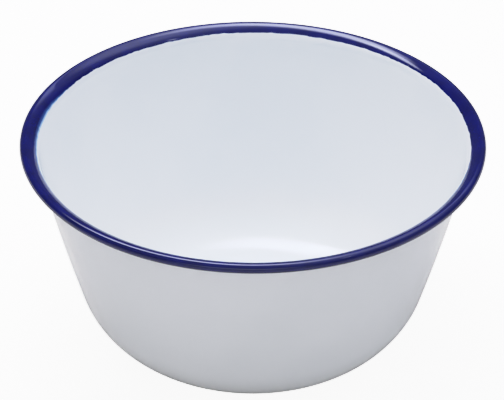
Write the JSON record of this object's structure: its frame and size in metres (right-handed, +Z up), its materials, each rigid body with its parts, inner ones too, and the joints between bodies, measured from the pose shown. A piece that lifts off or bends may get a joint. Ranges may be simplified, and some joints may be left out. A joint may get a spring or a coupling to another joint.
{
  "type": "enamelled mixing bowl",
  "caption": "Deep round enamelled steel mixing bowl, white inside and out, with a blue enamelled rolled rim and a flat base.",
  "frame": {"origin": "centre of the base, on the surface the bowl stands on", "axes": "+Z up along the bowl's axis of revolution"},
  "size_m": [0.24, 0.24, 0.121],
  "materials": {
    "steel": "low-carbon pressing steel, bare only inside the curl",
    "ground_enamel": "dark fired ground coat",
    "white_enamel": "glossy fired white enamel",
    "blue_enamel": "glossy fired cobalt blue enamel"
  },
  "bodies": {
    "root": {"steel_pressing": "steel", "ground_coat": "ground_enamel", "white_enamel_inside": "white_enamel", "white_enamel_outside": "white_enamel", "blue_rim_enamel": "blue_enamel"}
  },
  "joints": []
}
